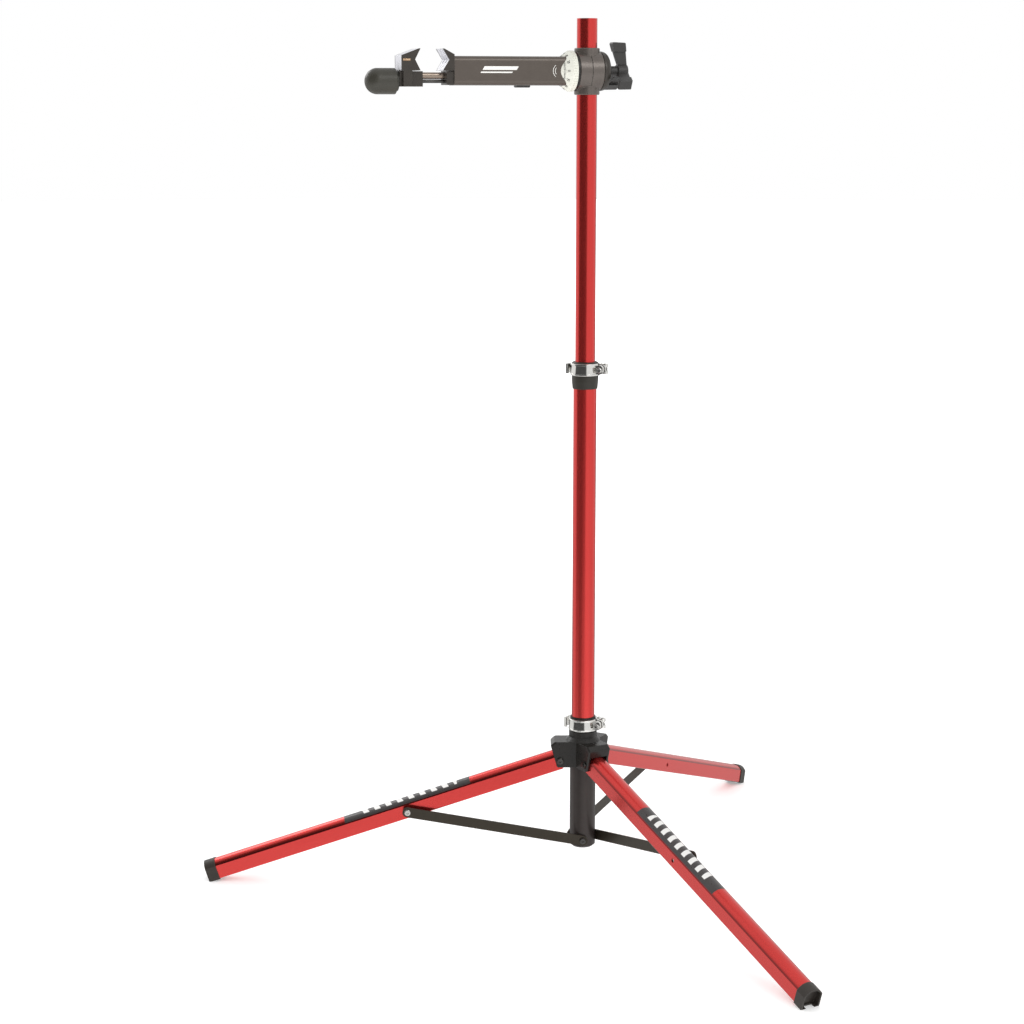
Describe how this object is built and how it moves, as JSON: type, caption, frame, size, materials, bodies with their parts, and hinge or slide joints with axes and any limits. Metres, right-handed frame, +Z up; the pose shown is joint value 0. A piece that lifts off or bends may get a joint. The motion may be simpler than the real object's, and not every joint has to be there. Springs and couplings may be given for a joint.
{
  "type": "bike repair stand",
  "caption": "Folding tripod workstand: telescoping red mast, sliding hub with braced legs, quick release collars and a rotating clamp arm with V jaws that grip a bike tube.",
  "frame": {"origin": "point on the floor under the mast axis", "axes": "+Z up along the mast; the clamp arm points along -X at rest; +Y completes the right-handed frame"},
  "size_m": [1.2765, 1.2498, 1.6645],
  "materials": {
    "red_anodised": "satin red anodised",
    "black_nylon": "moulded, fine texture",
    "black_steel": "black powder coat",
    "silver": "polished",
    "gunmetal": "satin metallic",
    "off_white": "moulded",
    "pad_grey": "moulded elastomer",
    "black_rubber": "moulded",
    "bright_steel": "zinc plated",
    "bronze_metal": "dark bronze"
  },
  "bodies": {
    "lower_mast": {"lower_mast_tube": "red_anodised", "base_sleeve": "black_steel", "base_end_plug": "black_nylon", "brace_base_bolts": "black_steel", "mid_bushing": "black_nylon", "mid_collar": "silver", "mid_skewer": "bright_steel", "mid_cam_washer": "black_nylon"},
    "mid_lever_body": {"mid_lever": "silver"},
    "hub": {"hub_casting": "black_nylon", "hub_liner": "black_nylon", "leg_pivot_bolts": "black_steel", "hub_collar": "silver", "hub_skewer": "bright_steel", "hub_cam_washer": "black_nylon"},
    "hub_lever_body": {"hub_lever": "silver"},
    "glide": {"glide_bushing": "black_nylon"},
    "upper_mast": {"upper_mast_tube": "red_anodised", "mast_top_plug": "black_nylon", "head_casting_front": "gunmetal", "head_casting_back": "gunmetal", "head_screws": "bright_steel", "head_bushings": "bronze_metal", "friction_ring": "black_nylon", "dome_cap": "black_nylon", "wing_washer": "bright_steel"},
    "clamp": {"clamp_arm": "gunmetal", "arm_root_block": "gunmetal", "clamp_shaft": "bright_steel", "angle_dial": "off_white", "arm_nose_cap": "black_nylon", "inner_jaw_holder": "black_nylon", "inner_jaw_pad": "pad_grey", "button_guides": "black_nylon"},
    "release": {"release_button": "black_nylon", "button_springs": "bright_steel"},
    "ratchet": {"guide_rod": "bronze_metal", "ratchet_carriage": "gunmetal"},
    "jaw": {"outer_jaw": "black_nylon", "outer_jaw_pad": "pad_grey", "jaw_pins": "bronze_metal"},
    "knob": {"end_knob": "black_rubber", "knob_spindle": "bright_steel"},
    "wing": {"wing_knob": "black_nylon"},
    "left_leg_body": {"left_leg": "red_anodised", "left_foot_cap": "black_rubber", "left_brace_spacer": "black_steel"},
    "left_brace_body": {"left_brace": "black_steel", "left_brace_bolt": "black_steel"},
    "front_leg_body": {"front_leg": "red_anodised", "front_foot_cap": "black_rubber", "front_brace_spacer": "black_steel"},
    "front_brace_body": {"front_brace": "black_steel", "front_brace_bolt": "black_steel"},
    "rear_leg_body": {"rear_leg": "red_anodised", "rear_foot_cap": "black_rubber", "rear_brace_spacer": "black_steel"},
    "rear_brace_body": {"rear_brace": "black_steel", "rear_brace_bolt": "black_steel"}
  },
  "joints": [
    {"name": "hub_slide", "type": "slide", "parent": "lower_mast", "child": "hub", "axis": [0, 0, 1], "range_m": [0, 0.49744]},
    {"name": "mast_slide", "type": "slide", "parent": "lower_mast", "child": "glide", "axis": [0, 0, 1], "range_m": [-0.49, 0.23]},
    {"name": "mast_swivel", "type": "hinge", "parent": "glide", "child": "upper_mast", "pos_m": [0, 0, 0.7], "axis": [0, 0, 1], "continuous": true},
    {"name": "clamp_spin", "type": "hinge", "parent": "upper_mast", "child": "clamp", "pos_m": [0, 0, 1.569], "axis": [-1, 0, 0], "continuous": true},
    {"name": "wing_turn", "type": "hinge", "parent": "clamp", "child": "wing", "pos_m": [0.07, 0, 1.569], "axis": [1, 0, 0], "range_deg": [0, 540]},
    {"name": "jaw_slide", "type": "slide", "parent": "clamp", "child": "ratchet", "axis": [1, 0, 0], "range_m": [-0.013, 0.037]},
    {"name": "jaw_screw", "type": "slide", "parent": "ratchet", "child": "jaw", "axis": [1, 0, 0], "range_m": [-0.008, 0.004]},
    {"name": "end_knob_turn", "type": "hinge", "parent": "jaw", "child": "knob", "pos_m": [-0.395, 0, 1.5501], "axis": [1, 0, 0], "range_deg": [-721, 361]},
    {"name": "release_press", "type": "slide", "parent": "clamp", "child": "release", "axis": [0, 0, 1], "range_m": [0, 0.003], "stiffness_N_per_m": 800, "springref_m": -0.002, "deforming": ["button_springs"]},
    {"name": "mid_lever_open", "type": "hinge", "parent": "lower_mast", "child": "mid_lever_body", "pos_m": [0.03632, -0.0109, 1.015], "axis": [0, 0, -1], "range_deg": [0, 120]},
    {"name": "hub_lever_open", "type": "hinge", "parent": "hub", "child": "hub_lever_body", "pos_m": [0.03632, -0.0109, 0.319], "axis": [0, 0, -1], "range_deg": [0, 120]},
    {"name": "left_leg_fold", "type": "hinge", "parent": "hub", "child": "left_leg_body", "pos_m": [-0.04296, 0.01338, 0.24895], "axis": [-0.2974, -0.9548, 0], "range_deg": [0, 68.7]},
    {"name": "left_brace_fold", "type": "hinge", "parent": "lower_mast", "child": "left_brace_body", "pos_m": [-0.00818, -0.02626, 0.088], "axis": [0.2974, 0.9548, 0], "range_deg": [0, 71.06]},
    {"name": "front_leg_fold", "type": "hinge", "parent": "hub", "child": "front_leg_body", "pos_m": [0.00989, -0.0439, 0.24895], "axis": [0.9755, 0.2198, 0], "range_deg": [0, 68.7]},
    {"name": "front_brace_fold", "type": "hinge", "parent": "lower_mast", "child": "front_brace_body", "pos_m": [0.02683, 0.00605, 0.088], "axis": [-0.9755, -0.2198, 0], "range_deg": [0, 71.06]},
    {"name": "rear_leg_fold", "type": "hinge", "parent": "hub", "child": "rear_leg_body", "pos_m": [0.03307, 0.03052, 0.24895], "axis": [-0.6782, 0.7349, 0], "range_deg": [0, 68.7]},
    {"name": "rear_brace_fold", "type": "hinge", "parent": "lower_mast", "child": "rear_brace_body", "pos_m": [-0.01865, 0.02021, 0.088], "axis": [0.6782, -0.7349, 0], "range_deg": [0, 71.06]}
  ],
  "couplings": [
    {"joint": "end_knob_turn", "follows": "jaw_screw", "rad_per_m": 1570.8},
    {"joint": "left_leg_fold", "follows": "hub_slide", "rad_per_m": 2.4069},
    {"joint": "left_brace_fold", "follows": "hub_slide", "rad_per_m": 2.4897},
    {"joint": "front_leg_fold", "follows": "hub_slide", "rad_per_m": 2.4069},
    {"joint": "front_brace_fold", "follows": "hub_slide", "rad_per_m": 2.4897},
    {"joint": "rear_leg_fold", "follows": "hub_slide", "rad_per_m": 2.4069},
    {"joint": "rear_brace_fold", "follows": "hub_slide", "rad_per_m": 2.4897}
  ]
}
